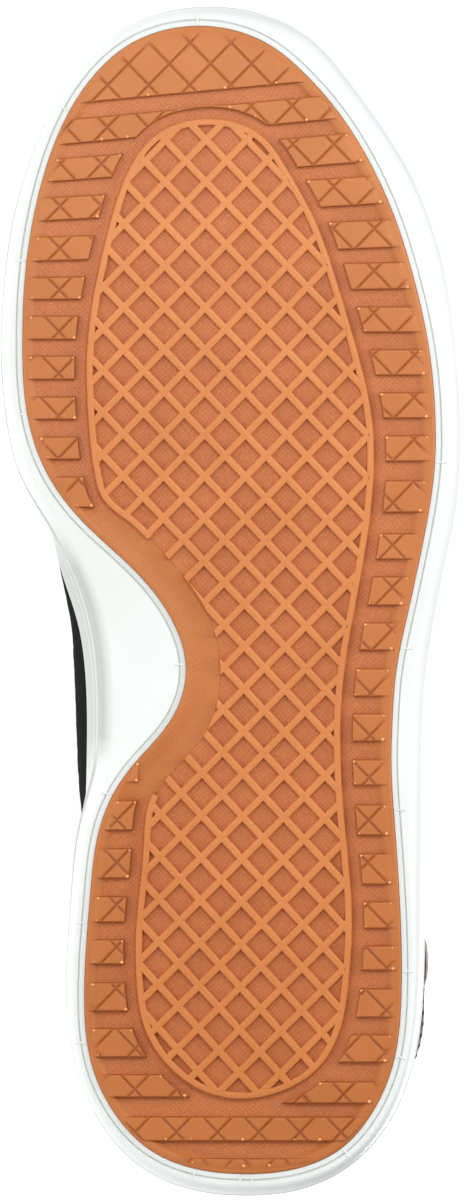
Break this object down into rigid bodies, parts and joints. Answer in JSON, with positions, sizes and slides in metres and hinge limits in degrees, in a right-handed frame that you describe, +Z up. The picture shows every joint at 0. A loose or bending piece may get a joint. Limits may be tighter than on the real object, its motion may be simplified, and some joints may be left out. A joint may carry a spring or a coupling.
{
  "type": "sneaker",
  "caption": "Low lace-up sneaker lying on its side, with a gum outsole of lugs and lattice, a white cup sole and a hollow black upper open at collar and throat.",
  "frame": {"origin": "middle of the base of the shoe's box, on the floor it lies on", "axes": "+X runs from the toe to the heel, -Y is the way the tread faces, +Z is up, towards the shoe's outer side"},
  "size_m": [0.298, 0.1192, 0.1138],
  "materials": {
    "gum": "satin",
    "white_rubber": "satin",
    "sock_liner": "matte",
    "black_suede": "matte",
    "black_overlay": "matte",
    "brown_leather": "satin",
    "tongue_cloth": "matte",
    "lace_cord": "matte"
  },
  "bodies": {
    "root": {"outsole": "gum", "midsole": "white_rubber", "insole": "sock_liner", "upper": "black_suede", "eyestay": "black_overlay", "heel_counter": "black_overlay", "side_patch": "brown_leather", "tongue": "tongue_cloth", "laces": "lace_cord"}
  },
  "joints": []
}
